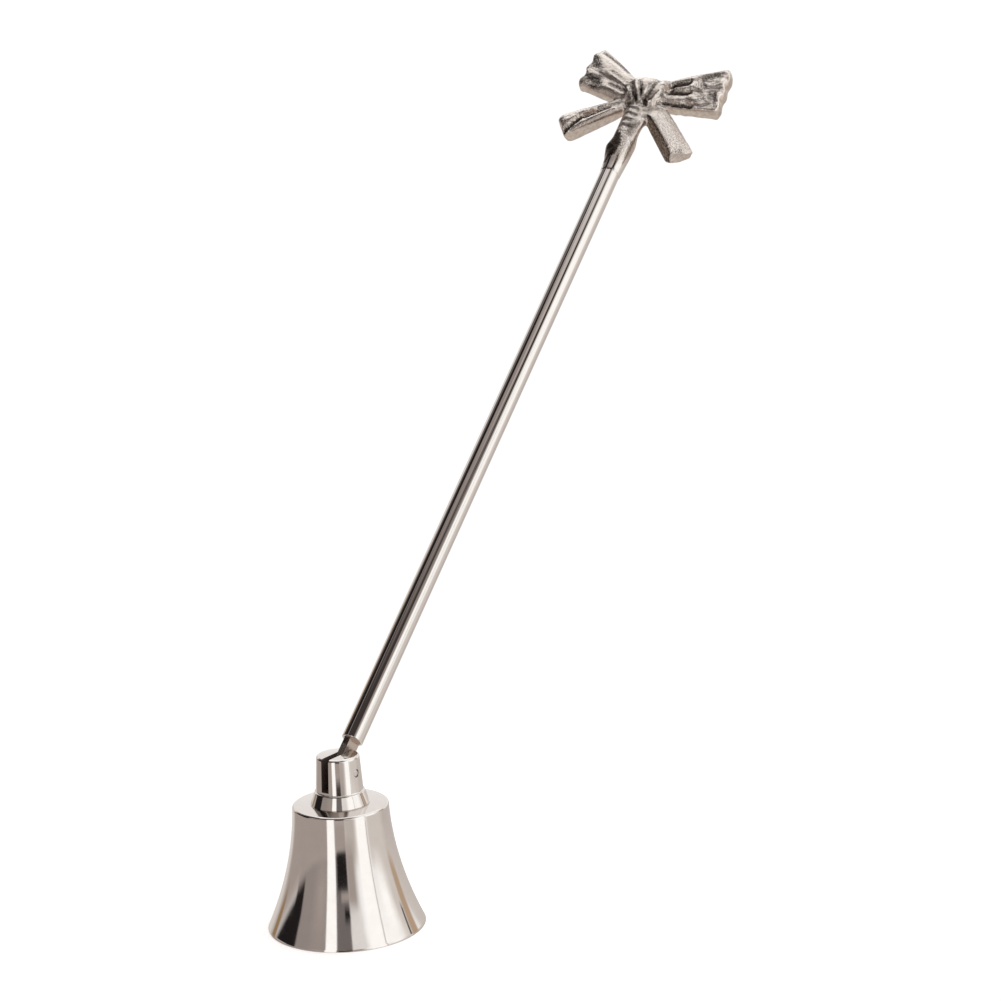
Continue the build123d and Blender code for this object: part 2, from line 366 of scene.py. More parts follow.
# %% Work out the handle's lean from the tube
tube_low, tube_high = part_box("handle_tube")
tube_middle = (tube_low + tube_high) / 2 - hinge
handle_lean = math.atan2(tube_middle.x, tube_middle.z)
handle_place = Matrix.Translation(hinge) @ Matrix.Rotation(handle_lean, 4, "Y")
tube_radius = tube_high.y
tube_wall = 0.6 * mm
tube_edge = 0.25 * mm
tube_start = 9.2 * mm
knot_distance = 234.8 * mm
stem_length = 30.2 * mm
socket_depth = 15.5 * mm
socket_gap = 0.1 * mm
tube_end = knot_distance - stem_length + socket_depth - socket_gap
print("handle leans", round(math.degrees(handle_lean), 2), "degrees, tube ends", round(tube_end / mm, 1))

# %% Turn the tube
tube_bore = tube_radius - tube_wall
tube_outline = [(tube_bore, tube_start + tube_edge / 2), (tube_bore + tube_edge / 2, tube_start)]
tube_outline += arc((tube_radius - tube_edge, tube_start + tube_edge), tube_edge, 270, 360, 4)
tube_outline += [(tube_radius, tube_end - tube_edge), (tube_radius - tube_edge, tube_end)]
tube_outline += [(tube_bore, tube_end), tube_outline[0]]
tube = put(turned("handle_tube_drawn", tube_outline, 160), handle_place)

# %% Shape the tongue
tongue_half_width = 2.35 * mm
tongue_thickness = 2.1 * mm
tongue_edge = 0.12 * mm
spigot_depth = 14.0 * mm
spigot_chamfer = 0.5 * mm
blade_low = (-tongue_half_width, -tongue_thickness / 2, -tongue_half_width)
blade_high = (tongue_half_width, tongue_thickness / 2, tube_start + overrun)
tongue = block("hinge_tongue_blade", blade_low, blade_high)


def across_lower_end(first, second):
    """True for the two lower edges that run through the blade's thickness."""
    at_end = max(first.z, second.z) < -tongue_half_width + merge_gap
    return at_end and abs(first.y - second.y) > tongue_thickness / 2


def round_both_faces(first, second):
    """True for the outline of the blade's two flat faces."""
    return abs(first.y - second.y) < merge_gap and abs(abs(first.y) - tongue_thickness / 2) < merge_gap


print("eye edges rounded:", bevel_edges(tongue, across_lower_end, tongue_half_width * 0.999, 24))
print("blade edges broken:", bevel_edges(tongue, round_both_faces, tongue_edge))

eye_radius = pin_radius + 0.04 * mm
eye_outline = [(0, -drill_length / 2), (eye_radius, -drill_length / 2)]
eye_outline += [(eye_radius, drill_length / 2), (0, drill_length / 2)]
eye_drill = put(turned("eye_drill", eye_outline, 64), Matrix.Rotation(math.radians(90), 4, "X"))
combine(tongue, eye_drill, "DIFFERENCE")
spigot_end = tube_start + spigot_depth
spigot_outline = [(0, tube_start), (tongue_half_width, tube_start)]
spigot_outline += [(tongue_half_width, spigot_end - spigot_chamfer)]
spigot_outline += [(tongue_half_width - spigot_chamfer, spigot_end), (0, spigot_end)]
combine(tongue, turned("spigot", spigot_outline, 96), "UNION")
put(tongue, handle_place)
print("tongue:", len(tongue.data.polygons), "faces")

# %% [markdown]
# ## The cast bow
# The bow is cast in one piece: two pleated loops, two tails, a wrapped knot and a stem that
# swallows the tube. Its maker shaped it in wax, so it is shaped here like wax. A copy of the
# bow's solid is remeshed into small even faces, softened, and then creases and swellings are
# pressed into it with proportional editing, which moves what is selected and carries the metal
# round it along.

# %% Copy the solid, stand it upright and plug its socket
bow_twist = math.radians(14 - 90)
bow_place = handle_place @ Matrix.Translation((0, 0, knot_distance)) @ Matrix.Rotation(bow_twist, 4, "Z")

bow = bpy.data.objects.new("cast_bow", frame["nodes"]["bow_finial"].data.copy())
bpy.context.scene.collection.objects.link(bow)
put(bow, bow_place.inverted())
bow.data.materials.clear()
bpy.ops.object.mode_set(mode="EDIT")
bpy.ops.mesh.select_all(action="SELECT")
bpy.ops.mesh.remove_doubles(threshold=merge_gap)
plug_height = socket_depth + overrun
plug_middle = (0, 0, plug_height / 2 - stem_length)
bpy.ops.mesh.primitive_cylinder_add(radius=tube_radius * 1.04, depth=plug_height, location=plug_middle)
bpy.ops.object.mode_set(mode="OBJECT")


def apply_modifier(piece, kind, **settings):
    """Adds a modifier with its settings and applies it at once."""
    bpy.ops.object.select_all(action="DESELECT")
    piece.select_set(True)
    bpy.context.view_layer.objects.active = piece
    modifier = piece.modifiers.new(kind.lower(), kind)
    for setting, value in settings.items():
        setattr(modifier, setting, value)
    bpy.ops.object.modifier_apply(modifier=modifier.name)


wax_grain = 0.36 * mm
apply_modifier(bow, "REMESH", mode="VOXEL", voxel_size=wax_grain)
apply_modifier(bow, "SMOOTH", factor=0.5, iterations=14)
print("bow as wax:", len(bow.data.vertices), "vertices")


# %% Round off the loops' ends
def read_points(piece, field):
    """The vertices' places or normals as an array."""
    values = np.zeros(len(piece.data.vertices) * 3, np.float32)
    piece.data.vertices.foreach_get(field, values)
    return values.reshape(-1, 3)


def weigh(piece, name, weights):
    """A vertex group with a weight for each vertex."""
    group = piece.vertex_groups.new(name=name)
    for index, weight in enumerate(weights):
        group.add([index], float(weight), "REPLACE")


across, tall = read_points(bow, "co").T[[0, 2]] / mm
weigh(bow, "loop_ends", np.clip((np.abs(across) - 14) / 3, 0, 1) * (tall > -4))
apply_modifier(bow, "SMOOTH", factor=0.5, iterations=30, vertex_group="loop_ends")
bpy.ops.object.mode_set(mode="EDIT")
bpy.ops.mesh.select_all(action="DESELECT")
bpy.ops.object.mode_set(mode="OBJECT")
print("vertices on the loops' ends:", int((np.abs(across) > 14).sum()))


# %% Press creases and swellings into the wax
def distance_to_path(points, path):
    """How far each point is from a path, both seen from the front."""
    nearest = np.full(len(points), np.inf)
    for start, end in zip(path, path[1:]):
        start, run = np.array(start) * mm, (np.array(end) - np.array(start)) * mm
        along = np.clip((points - start) @ run / (run @ run), 0, 1)
        nearest = np.minimum(nearest, np.linalg.norm(points - start - along[:, None] * run, axis=1))
    return nearest


def mould(chosen, move, reach, **settings):
    """Moves chosen points of the bow, and carries the metal within reach along."""
    bow.data.vertices.foreach_set("select", chosen)
    bpy.ops.object.mode_set(mode="EDIT")
    move(
        use_proportional_edit=True,
        use_proportional_connected=True,
        proportional_edit_falloff="SMOOTH",
        proportional_size=reach,
        **settings,
    )
    bpy.ops.mesh.select_all(action="DESELECT")
    bpy.ops.object.mode_set(mode="OBJECT")


def press(path, core, reach, rise):
    """Raises (or, below zero, sinks) the bow's front and back along a path of (x, z) points in mm."""
    points, normals = read_points(bow, "co"), read_points(bow, "normal")
    close = distance_to_path(points[:, [0, 2]], path) < core * mm
    for face in (-1, 1):
        chosen = close & (normals[:, 1] * face > 0.35)
        mould(chosen, bpy.ops.transform.translate, reach * mm, value=(0, face * rise * mm, 0))


right_loop_strokes = [
    (((6.9, 4.6), (9.5, 5.8), (12.4, 7.0)), 0.35, 1.4, -1.0),
    (((6.7, 2.1), (10, 2.7), (13.4, 3.3)), 0.35, 1.4, -1.1),
    (((7.2, -1.7), (11, -1.7), (15.4, -1.4)), 0.3, 1.2, -0.9),
    (((13.4, 8.4), (14.6, 3.6), (15.6, -0.2)), 0.4, 1.2, 0.3),
    (((16.3, 9.4), (19.3, 11.5)), 0.4, 1.4, -0.5),
    (((15.9, 6.9), (17.0, 6.6)), 0.5, 1.4, -0.4),
    (((20.8, 3.8), (21.2, 3.0)), 0.6, 1.6, -0.7),
    (((17.4, 2.7), (18.6, 2.3)), 0.5, 1.3, -0.4),
    (((18.8, 9.0), (20.2, 8.4)), 0.5, 1.2, -0.3),
    (((16.4, 5.2), (18.5, 4.6), (20.2, 5.8)), 0.3, 1.0, 0.25),
    (((16.2, 0.3), (18.7, -0.1), (21.0, 1.4)), 0.3, 1.0, 0.25),
    (((21.8, 13.2), (23.0, 6.8), (23.8, -1.2)), 0.4, 1.0, 0.3),
    (((9.0, -3.0), (23.4, -1.6)), 0.3, 0.8, 0.25),
]
left_loop_strokes = [
    (((-18.0, 10.8), (-12.5, 8.0), (-6.0, 4.4)), 0.8, 2.0, 0.3),
    (((-15.0, 4.9), (-10.6, 3.0), (-5.8, 0.9)), 0.6, 1.6, 0.3),
    (((-13.0, -0.5), (-8.6, -1.5), (-4.8, -2.5)), 0.5, 1.2, 0.3),
    (((-12.4, 5.8), (-10.0, 4.6), (-5.8, 2.4)), 0.2, 0.8, -0.3),
    (((-11.6, 1.1), (-9.2, 0.4), (-5.2, -0.9)), 0.2, 0.8, -0.35),
    (((-18.9, 9.0), (-18.2, 7.4)), 0.5, 2.0, -0.4),
    (((-18.4, 2.2), (-16.2, 1.6)), 0.5, 2.0, -0.45),
]
knot_strokes = [
    (((-3.4, 4.8), (0.6, 5.6), (5.4, 5.6)), 0.6, 1.6, 0.5),
    (((3.3, -3.4), (4.8, 1.2), (6.0, 4.8)), 0.7, 1.6, 0.6),
    (((1.5, -3.2), (2.8, 1.4), (4.1, 5.2)), 0.3, 1.1, -0.5),
    (((5.4, -3.0), (6.9, 1.0), (7.7, 4.6)), 0.35, 1.2, -0.5),
    (((-4.6, 2.2), (-1.4, -3.2)), 0.35, 1.2, -0.55),
    (((-2.0, 2.6), (0.4, -2.2)), 0.25, 0.9, -0.35),
    (((-3.4, 3.2), (-0.6, -2.8)), 0.3, 0.8, 0.3),
    (((-0.6, 4.6), (1.0, -1.8)), 0.4, 1.1, 0.4),
    (((-4.0, -4.9), (2.0, -4.6)), 0.35, 1.1, -0.45),
]
tail_strokes = [
    (((-22.2, -15.6), (-16.0, -10.4)), 1.0, 1.6, 0.3),
    (((-19.4, -19.4), (-15.6, -12.6), (-11.6, -9.6)), 0.3, 1.1, -1.1),
    (((-18.2, -20.2), (-14.0, -14.6), (-7.0, -7.4)), 0.4, 1.2, 0.4),
    (((-11.2, -8.6), (-9.2, -7.6)), 0.5, 1.2, -0.6),
    (((-13.4, -10.2), (-12.6, -9.4)), 0.4, 1.0, 0.5),
]
stem_strokes = [
    (((-2.6, -6.5), (1.6, -7.3)), 0.25, 0.8, -0.3),
    (((-2.4, -8.7), (1.4, -9.5)), 0.25, 0.8, -0.3),
    (((-2.6, -11.0), (1.2, -11.8)), 0.25, 0.8, -0.3),
    (((-2.4, -13.4), (1.0, -14.2)), 0.25, 0.8, -0.25),
]
strokes = right_loop_strokes + left_loop_strokes + knot_strokes + tail_strokes + stem_strokes
rolled_edges = [
    (((-20.2, 14.0), (-12.5, 10.4), (-6.4, 7.0)), 0.5, 2.2, -0.9),
    (((15.6, -20.8), (18.6, -18.2), (21.2, -15.6)), 0.3, 1.2, -0.5),
]
evened_folds = [
    (((7.5, 3.6), (14, 6.0), (22.6, 9.0)), 0.5, 1.7, 0.6),
    (((7.5, 0.2), (14, 1.5), (22.6, 3.4)), 0.5, 1.7, 0.6),
    (((14.6, 3.9), (22.6, 6.3)), 0.5, 1.6, -0.4),
    (((14.6, 8.2), (21.8, 11.8)), 0.5, 1.6, -0.4),
    (((14.6, -0.4), (22.6, 0.9)), 0.5, 1.6, -0.3),
    (((-20.0, 9.4), (-14.6, 7.0), (-10.6, 4.9), (-5.8, 2.4)), 0.4, 1.5, 0.5),
    (((-20.0, 4.4), (-13.0, 1.5), (-9.6, 0.5), (-5.2, -0.9)), 0.4, 1.5, 0.5),
    (((-20.6, -16.8), (-15.6, -12.9)), 0.5, 1.4, 0.7),
]
for path, core, reach, rise in rolled_edges + evened_folds + strokes:
    press(path, core, reach, rise)
print("edges rolled:", len(rolled_edges), "folds evened:", len(evened_folds), "strokes:", len(strokes))

# %% [markdown]
# ## The right tail and the stem's end
# The right tail was twisted in the wax, so that its side shows, and its end was cut at a slope.
# The stem's end was filed down after casting, until it ran into the tube almost without a step.

# %% Roll the right tail about its own length
tail_root = np.array((0, 0, -1)) * mm
tail_run = Vector((0.737, 0, -0.676))
tail_side = Vector((-0.676, 0, -0.737))
tail_roll = math.radians(-20)
tail_width = 5.4
roll_start, roll_end = 10.5, 23
roll_middle = 16 * mm
roll_fade = 6 * mm


def along_tail(points):
    """How far points are along the right tail and away from its middle line, in mm."""
    from_root = points - tail_root
    along = from_root @ np.array(tail_run)
    return along / mm, np.linalg.norm(from_root - along[:, None] * np.array(tail_run), axis=1) / mm


along, aside = along_tail(read_points(bow, "co"))
mould(
    (along > roll_start) & (along < roll_end) & (aside < tail_width),
    bpy.ops.transform.rotate,
    roll_fade,
    value=tail_roll,
    orient_axis="Z",
    orient_type="GLOBAL",
    orient_matrix_type="GLOBAL",
    orient_matrix=Matrix((tail_side, tail_run.cross(tail_side), tail_run)),
    center_override=Vector(tail_root) + tail_run * roll_middle,
)
print("tail rolled by", round(math.degrees(tail_roll)), "degrees")

# %% Slope the tail's end and file the stem down to the tube
tail_slope = 1.6 * mm
slope_start = 24
slope_fade = 2.6 * mm
front_depth = 0.8 * mm
stem_squeeze = 0.955
stem_lip = 0.6 * mm
stem_fade = 7 * mm
points = read_points(bow, "co")
along, aside = along_tail(points)
front_end = (along > slope_start) & (aside < tail_width) & (points[:, 1] < -front_depth)
mould(front_end, bpy.ops.transform.translate, slope_fade, value=tail_run * -tail_slope)
mould(
    points[:, 2] < stem_lip - stem_length,
    bpy.ops.transform.resize,
    stem_fade,
    value=(stem_squeeze, stem_squeeze, 1),
    center_override=(0, 0, -stem_length),
)
print("tail's end sloped by", round(tail_slope / mm, 1), "mm")

# %% [markdown]
# ## The casting's skin
# Sand leaves the fronts of the bow grainy, while its walls were ground smooth and its ridges are
# rubbed bright by hands. A fine remesh gives enough vertices for the coarser grain, and Displace
# lifts them along their normals by a cloudy texture, less on walls and ridges. The strokes also
# say where the finish is dark, with patina and painted shade in what was pressed in, and where it
# is rubbed, on what was raised. A few more marks paint shade where the bow turns from the light,
# such as the tail's side, and one darkens a patch on the stem.

# %% Find the fronts, the patina and painted shade, and the rubbed ridges
skin_grain = 0.23 * mm
apply_modifier(bow, "REMESH", mode="VOXEL", voxel_size=skin_grain)
apply_modifier(bow, "SMOOTH", factor=0.5, iterations=3)
places, normals = read_points(bow, "co"), read_points(bow, "normal")
filed_start, filed_run = -22.5, 4.5
filed = np.clip((filed_start - places[:, 2] / mm) / filed_run, 0, 1)
fronts = np.clip((np.abs(normals[:, 1]) - 0.45) / 0.3, 0, 1) * (1 - filed)
# Marks of painted shade where the bow turns from the light: the left loop's outer end, its top edge, the
# stem's left side and the right tail's side. The stem also gets a dark patch.
fan_shade = (((-19.6, 9.6), (-18.6, 7.6)), 0.8, 1.5, 0.7, (0, -1, 0))
low_shade = (((-19.6, 2.4), (-15.8, 2.0), (-16.2, -0.2)), 0.8, 1.6, 0.75, (0, -1, 0))
stem_dark_patch = (((-2.3, -18.2), (-1.5, -20.6), (-1.8, -23.4)), 1.5, 1.0, 1.5, (-0.6, -0.8, 0))
stem_side_shade = (((-3.4, -17.2), (-2.6, -20.6), (-2.6, -25.6)), 1.4, 1.2, 1.5, (-1, 0, 0))
tail_side_shade = (((2.4, -3.2), (17.6, -17.2)), 4.2, 0.8, 0.85, tuple(tail_side))
top_edge_shade = (((-17.6, 12.9), (-14.8, 11.5), (-10.0, 8.9), (-8.0, 7.6)), 0.25, 0.6, 0.75, (0, -1, 0))
dark_and_shade_marks = [fan_shade, low_shade, stem_dark_patch, stem_side_shade, tail_side_shade, top_edge_shade]
patina_and_shade = np.zeros(len(places))
rubbed = np.zeros(len(places))
# What was pressed in gets patina and painted shade, and what was raised is rubbed bright.
for path, core, reach, rise in strokes:
    away = distance_to_path(places[:, [0, 2]], path) / mm
    fade = np.clip(1 - (away - core) / reach, 0, 1) * fronts
    if rise < 0:
        patina_and_shade = np.maximum(patina_and_shade, np.minimum(-rise, 1) * fade)
    else:
        rubbed = np.maximum(rubbed, np.minimum(2 * rise, 1) * fade)
for path, core, reach, amount, facing in dark_and_shade_marks:
    away = distance_to_path(places[:, [0, 2]], path) / mm
    turned_there = np.clip((normals @ np.array(facing) - 0.25) / 0.3, 0, 1)
    patina_and_shade = np.maximum(patina_and_shade, amount * turned_there * np.clip(1 - (away - core) / reach, 0, 1))
# Painted shade along the right tail's edge that turns down and to the left.
on_tail = np.clip(5 - distance_to_path(places[:, [0, 2]], tail_side_shade[0]) / mm, 0, 1)
on_edge = np.clip(1.4 - np.abs(normals @ np.array(tail_side) - 0.62) / 0.16, 0, 1) * (normals[:, 1] < -0.2)
patina_and_shade = np.maximum(patina_and_shade, on_tail * on_edge)
rubbed = np.clip(rubbed - patina_and_shade, 0, 1)
print("in hollows:", int((patina_and_shade > 0.5).sum()), "and on ridges:", int((rubbed > 0.5).sum()), "vertices")

# %% Grain the fronts and keep the marks as attributes
weigh(bow, "cast_front", (0.25 + 0.75 * fronts * (1 - 0.7 * rubbed)) * (1 - filed))
sand = bpy.data.textures.new("sand_grain", "CLOUDS")
sand.noise_scale = 0.5 * mm
sand.noise_depth = 2
apply_modifier(bow, "DISPLACE", texture=sand, texture_coords="LOCAL", vertex_group="cast_front",
               strength=0.17 * mm, mid_level=0.5)
# The dark mark carries patina and painted shade into the material.
for name, values in (("front", fronts), ("patina_shade_mark", patina_and_shade), ("rubbed", rubbed), ("filed", filed)):
    mark = bow.data.attributes.new(name, "FLOAT", "POINT")
    mark.data.foreach_set("value", values.astype(np.float32))
print("bow:", len(bow.data.polygons), "faces")

# %% Bore the socket and put the bow in its place
bore_outline = [(0, -stem_length - overrun), (tube_radius, -stem_length - overrun)]
bore_outline += [(tube_radius, socket_depth - stem_length), (0, socket_depth - stem_length)]
combine(bow, turned("socket_drill", bore_outline, 96), "DIFFERENCE")
put(bow, bow_place)
bpy.ops.object.shade_smooth()
print("bow with its socket:", len(bow.data.polygons), "faces")

# %% [markdown]
# ## Finishes
# All pieces are nickel plate over polished metal, but each was worked its own way, and that
# shows in the reflections. The turned pieces keep faint rings round their axis, the drawn tube
# keeps faint lines along its length, and the casting is grainy, with patina and painted shade in
# its hollows. The patterns are made in the material from Object coordinates, which need no
# unwrapping.


# %% Helpers for materials
def new_finish(name):
    """A metal material with its node tree and its main shader."""
    material = bpy.data.materials.new(name)
    material.use_nodes = True
    shader = material.node_tree.nodes["Principled BSDF"]
    shader.inputs["Metallic"].default_value = 1.0
    return material, material.node_tree, shader


def add(tree, kind, **sockets):
    """A new node with some of its inputs set, or linked where a value is another node's output."""
    node = tree.nodes.new(kind)
    for name, value in sockets.items():
        socket = node.inputs[int(name[1:])] if name[1:].isdigit() else node.inputs[name.replace("_", " ")]
        if isinstance(value, bpy.types.NodeSocket):
            tree.links.new(value, socket)
        else:
            socket.default_value = value
    return node


def math_node(tree, operation, *values):
    """The output of a Math node."""
    node = add(tree, "ShaderNodeMath", **{f"i{i}": value for i, value in enumerate(values)})
    node.operation = operation
    return node.outputs[0]


def ramp(tree, value, low, high, start, end):
    """Maps a value from low..high to start..end, held at both ends."""
    node = add(tree, "ShaderNodeMapRange", Value=value, From_Min=low, From_Max=high, To_Min=start, To_Max=end)
    return node.outputs["Result"]


def tint(tree, share, first, second):
    """Mixes two colours by a share."""
    node = tree.nodes.new("ShaderNodeMix")
    node.data_type = "RGBA"
    tree.links.new(share, node.inputs["Factor"])
    for name, colour in (("A", first), ("B", second)):
        socket = [s for s in node.inputs if s.name == name and s.type == "RGBA"][0]
        if isinstance(colour, bpy.types.NodeSocket):
            tree.links.new(colour, socket)
        else:
            socket.default_value = (*colour, 1)
    return [s for s in node.outputs if s.type == "RGBA"][0]


# %% The turned and the drawn finish
def upright_parts(tree, place):
    """Distance from the axis, angle round it and height along it, in mm, for a piece at a place."""
    to_axis = place.inverted()
    coordinates = tree.nodes.new("ShaderNodeTexCoord")
    mapping = add(tree, "ShaderNodeMapping", Vector=coordinates.outputs["Object"])
    mapping.inputs["Location"].default_value = to_axis.translation / mm
    mapping.inputs["Rotation"].default_value = to_axis.to_euler("XYZ")
    mapping.inputs["Scale"].default_value = (1 / mm, 1 / mm, 1 / mm)
    parts = add(tree, "ShaderNodeSeparateXYZ", Vector=mapping.outputs["Vector"])
    x, y, z = (parts.outputs[axis] for axis in "XYZ")
    squares = math_node(tree, "ADD", math_node(tree, "MULTIPLY", x, x), math_node(tree, "MULTIPLY", y, y))
    return math_node(tree, "SQRT", squares), math_node(tree, "ARCTAN2", y, x), z, mapping.outputs["Vector"]


plate_colours = ((0.80, 0.765, 0.735), (0.77, 0.73, 0.695))
brushed_colours = ((0.66, 0.575, 0.51), (0.56, 0.475, 0.415))


def bright_nickel(name, place, worked, lines, depth, roughness, colours=plate_colours):
    """Polished plate with faint marks: rings round the axis if turned, lines along it if drawn."""
    material, tree, shader = new_finish(name)
    radius, angle, height, spot = upright_parts(tree, place)
    if worked == "turned":
        marks = add(tree, "ShaderNodeCombineXYZ", X=radius, Y=height)
    else:
        marks = add(tree, "ShaderNodeCombineXYZ", X=angle, Y=math_node(tree, "MULTIPLY", height, 0.01))
    fine = add(tree, "ShaderNodeTexNoise", Vector=marks.outputs[0], Scale=lines, Detail=3.0)
    waves = add(tree, "ShaderNodeTexNoise", Vector=spot, Scale=0.16, Detail=1.0)
    height_sum = math_node(tree, "MULTIPLY_ADD", waves.outputs["Fac"], 6.0, fine.outputs["Fac"])
    bump = add(tree, "ShaderNodeBump", Strength=1.0, Distance=depth * mm, Height=height_sum)
    tree.links.new(bump.outputs["Normal"], shader.inputs["Normal"])
    smudge = add(tree, "ShaderNodeTexNoise", Vector=spot, Scale=0.35, Detail=4.0, Roughness=0.62)
    rough = ramp(tree, smudge.outputs["Fac"], 0.35, 0.7, roughness, roughness * 1.7)
    tree.links.new(rough, shader.inputs["Roughness"])
    colour = tint(tree, ramp(tree, smudge.outputs["Fac"], 0.3, 0.75, 0, 1), *colours)
    tree.links.new(colour, shader.inputs["Base Color"])
    return material


def paint_shade_over(material, share, colour, roughness):
    """Paints a dull dark colour over a finish, as shade, where a share, worked out in its own nodes, is near
    1.
    """
    tree = material.node_tree
    shader = tree.nodes["Principled BSDF"]
    clean_colour = shader.inputs["Base Color"].links[0].from_socket
    tree.links.new(tint(tree, share, clean_colour, colour), shader.inputs["Base Color"])
    clean_rough = shader.inputs["Roughness"].links[0].from_socket
    dull = math_node(tree, "MULTIPLY_ADD", share, roughness, clean_rough)
    tree.links.new(dull, shader.inputs["Roughness"])
    tree.links.new(ramp(tree, share, 0.0, 1.0, 1.0, 0.3), shader.inputs["Metallic"])


def slot_with_painted_shade():
    """The post's turned finish, dull inside the slot where no wheel reaches, and painted dark there as shade.
    """
    material = bright_nickel("slot_shaded_nickel_finish", upright, "turned", 5.0, 0.0012, 0.055)
    tree = material.node_tree
    parts = add(tree, "ShaderNodeSeparateXYZ", Vector=tree.nodes.new("ShaderNodeTexCoord").outputs["Object"])
    beside = math_node(tree, "ABSOLUTE", parts.outputs["Y"])
    between = ramp(tree, beside, slot_width / 2 + slot_edge / 3, slot_width / 2 + slot_edge / 6, 0.0, 1.0)
    floor_level = post_foot + slot_floor
    over_floor = ramp(tree, parts.outputs["Z"], floor_level - slot_edge, floor_level - slot_edge / 2, 0.0, 1.0)
    # Painted shade: the slot's walls are painted dark brown and made less metallic.
    paint_shade_over(material, math_node(tree, "MULTIPLY", between, over_floor), (0.12, 0.09, 0.075), 0.3)
    return material


def tongue_with_painted_shade():
    """The tongue's filed finish, with painted shade where it leaves the slot."""
    material = bright_nickel("filed_nickel_finish", handle_place, "drawn", 9.0, 0.004, 0.16, brushed_colours)
    tree = material.node_tree
    along, spot = upright_parts(tree, handle_place)[2:]
    blot = add(tree, "ShaderNodeTexNoise", Vector=spot, Scale=0.8, Detail=2.0).outputs["Fac"]
    uneven = math_node(tree, "MULTIPLY_ADD", blot, 2.4, along)
    share = math_node(tree, "MULTIPLY", ramp(tree, uneven, 7.2, 8.4, 1.0, 0.0), 0.8)
    # Painted shade: a dark patch on the tongue's foot, next to the post.
    paint_shade_over(material, share, (0.10, 0.075, 0.06), 0.2)
    return material


upright = Matrix.Identity(4)
finishes = {
    "turned_nickel": bright_nickel("turned_nickel_finish", upright, "turned", 5.0, 0.0012, 0.055),
    "slot_shaded_nickel": slot_with_painted_shade(),
    "tongue_nickel": tongue_with_painted_shade(),
    "drawn_tube_nickel": bright_nickel("drawn_nickel_finish", handle_place, "drawn", 6.0, 0.0012, 0.05),
    "plated_steel": bright_nickel("plated_steel_finish", across_the_slot, "turned", 7.0, 0.002, 0.12),
}
print("bright finishes:", sorted(finishes))


# %% The cast finish
def marked(tree, name):
    """A mark that was kept on the mesh."""
    node = tree.nodes.new("ShaderNodeAttribute")
    node.attribute_name = name
    return node.outputs["Fac"]


def cast_nickel():
    """Grainy plate: bright rubbed ridges, dark speckles, patina and painted shade in the marked places, and
    smooth ground walls.
    """
    material, tree, shader = new_finish("cast_nickel_finish")
    in_mm = add(tree, "ShaderNodeMapping", Vector=tree.nodes.new("ShaderNodeTexCoord").outputs["Object"])
    in_mm.inputs["Scale"].default_value = (1 / mm, 1 / mm, 1 / mm)
    place = in_mm.outputs["Vector"]
    on_front, shade_and_patina, rubbed = marked(tree, "front"), marked(tree, "patina_shade_mark"), marked(tree, "rubbed")
    filed = marked(tree, "filed")
    grain = add(tree, "ShaderNodeTexNoise", Vector=place, Scale=2.6, Detail=3.0, Roughness=0.6).outputs["Fac"]
    ground = add(tree, "ShaderNodeTexNoise", Vector=place, Scale=0.9, Detail=4.0, Roughness=0.6).outputs["Fac"]

    speck = ramp(tree, grain, 0.42, 0.60, 0.0, 1.0)
    # Dark colour: speckles on the unrubbed fronts, plus patina and painted shade from the mark on the mesh.
    sooty = math_node(tree, "MULTIPLY", on_front, ramp(tree, rubbed, 0.0, 1.0, 0.34, 0.12))
    soot_and_shade = math_node(tree, "MULTIPLY_ADD", shade_and_patina, 1.1, sooty)
    dark = math_node(tree, "MAXIMUM", math_node(tree, "MULTIPLY_ADD", speck, -0.72, soot_and_shade), 0.0)
    wall = tint(tree, ramp(tree, ground, 0.3, 0.7, 0, 1), (0.74, 0.655, 0.59), (0.50, 0.425, 0.375))
    clean = tint(tree, filed, wall, (0.79, 0.75, 0.715))
    bright = tint(tree, on_front, clean, (0.83, 0.765, 0.71))
    tree.links.new(tint(tree, dark, bright, (0.07, 0.052, 0.041)), shader.inputs["Base Color"])

    cast_rough = ramp(tree, on_front, 0.0, 1.0, 0.30, 0.17)
    rough = math_node(tree, "MULTIPLY", cast_rough, ramp(tree, filed, 0.0, 1.0, 1.0, 0.25))
    tree.links.new(rough, shader.inputs["Roughness"])
    sandy = math_node(tree, "MULTIPLY", ramp(tree, on_front, 0.0, 1.0, 0.3, 1.0),
                      ramp(tree, rubbed, 0.0, 1.0, 1.0, 0.3))
    sandy = math_node(tree, "MULTIPLY", sandy, ramp(tree, filed, 0.0, 1.0, 1.0, 0.03))
    grit = math_node(tree, "MULTIPLY", grain, sandy)
    bump = add(tree, "ShaderNodeBump", Strength=1.0, Distance=0.16 * mm, Height=grit)
    tree.links.new(bump.outputs["Normal"], shader.inputs["Normal"])
    return material


finishes["cast_nickel"] = cast_nickel()

# %% [markdown]
# ## Joining the looks to the moving bodies
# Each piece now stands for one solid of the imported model, takes its finish, and rides on the
# body that carries it: the bell with its hinge on one side, the handle with its bow on the other.

# %% Hand each piece its finish, node and body
pieces = [
    (bell, "bell_cup", "bell", "turned_nickel", "turned_nickel"),
    (post, "hinge_post", "bell", "turned_nickel", "slot_shaded_nickel"),
    (pin, "hinge_pin", "bell", "plated_steel", "plated_steel"),
    (screw, "post_screw", "bell", "plated_steel", "plated_steel"),
    (washer, "spring_washer", "bell", "plated_steel", "plated_steel"),
    (tongue, "hinge_tongue", "handle", "turned_nickel", "tongue_nickel"),
    (tube, "handle_tube", "handle", "drawn_tube_nickel", "drawn_tube_nickel"),
    (bow, "bow_finial", "handle", "cast_nickel", "cast_nickel"),
]
for piece, node_name, body, slot_name, finish in pieces:
    piece.data.materials.clear()
    piece.data.materials.append(finishes[finish])
    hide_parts(node_name)
    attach(piece, body)
print("pieces dressed:", len(pieces))

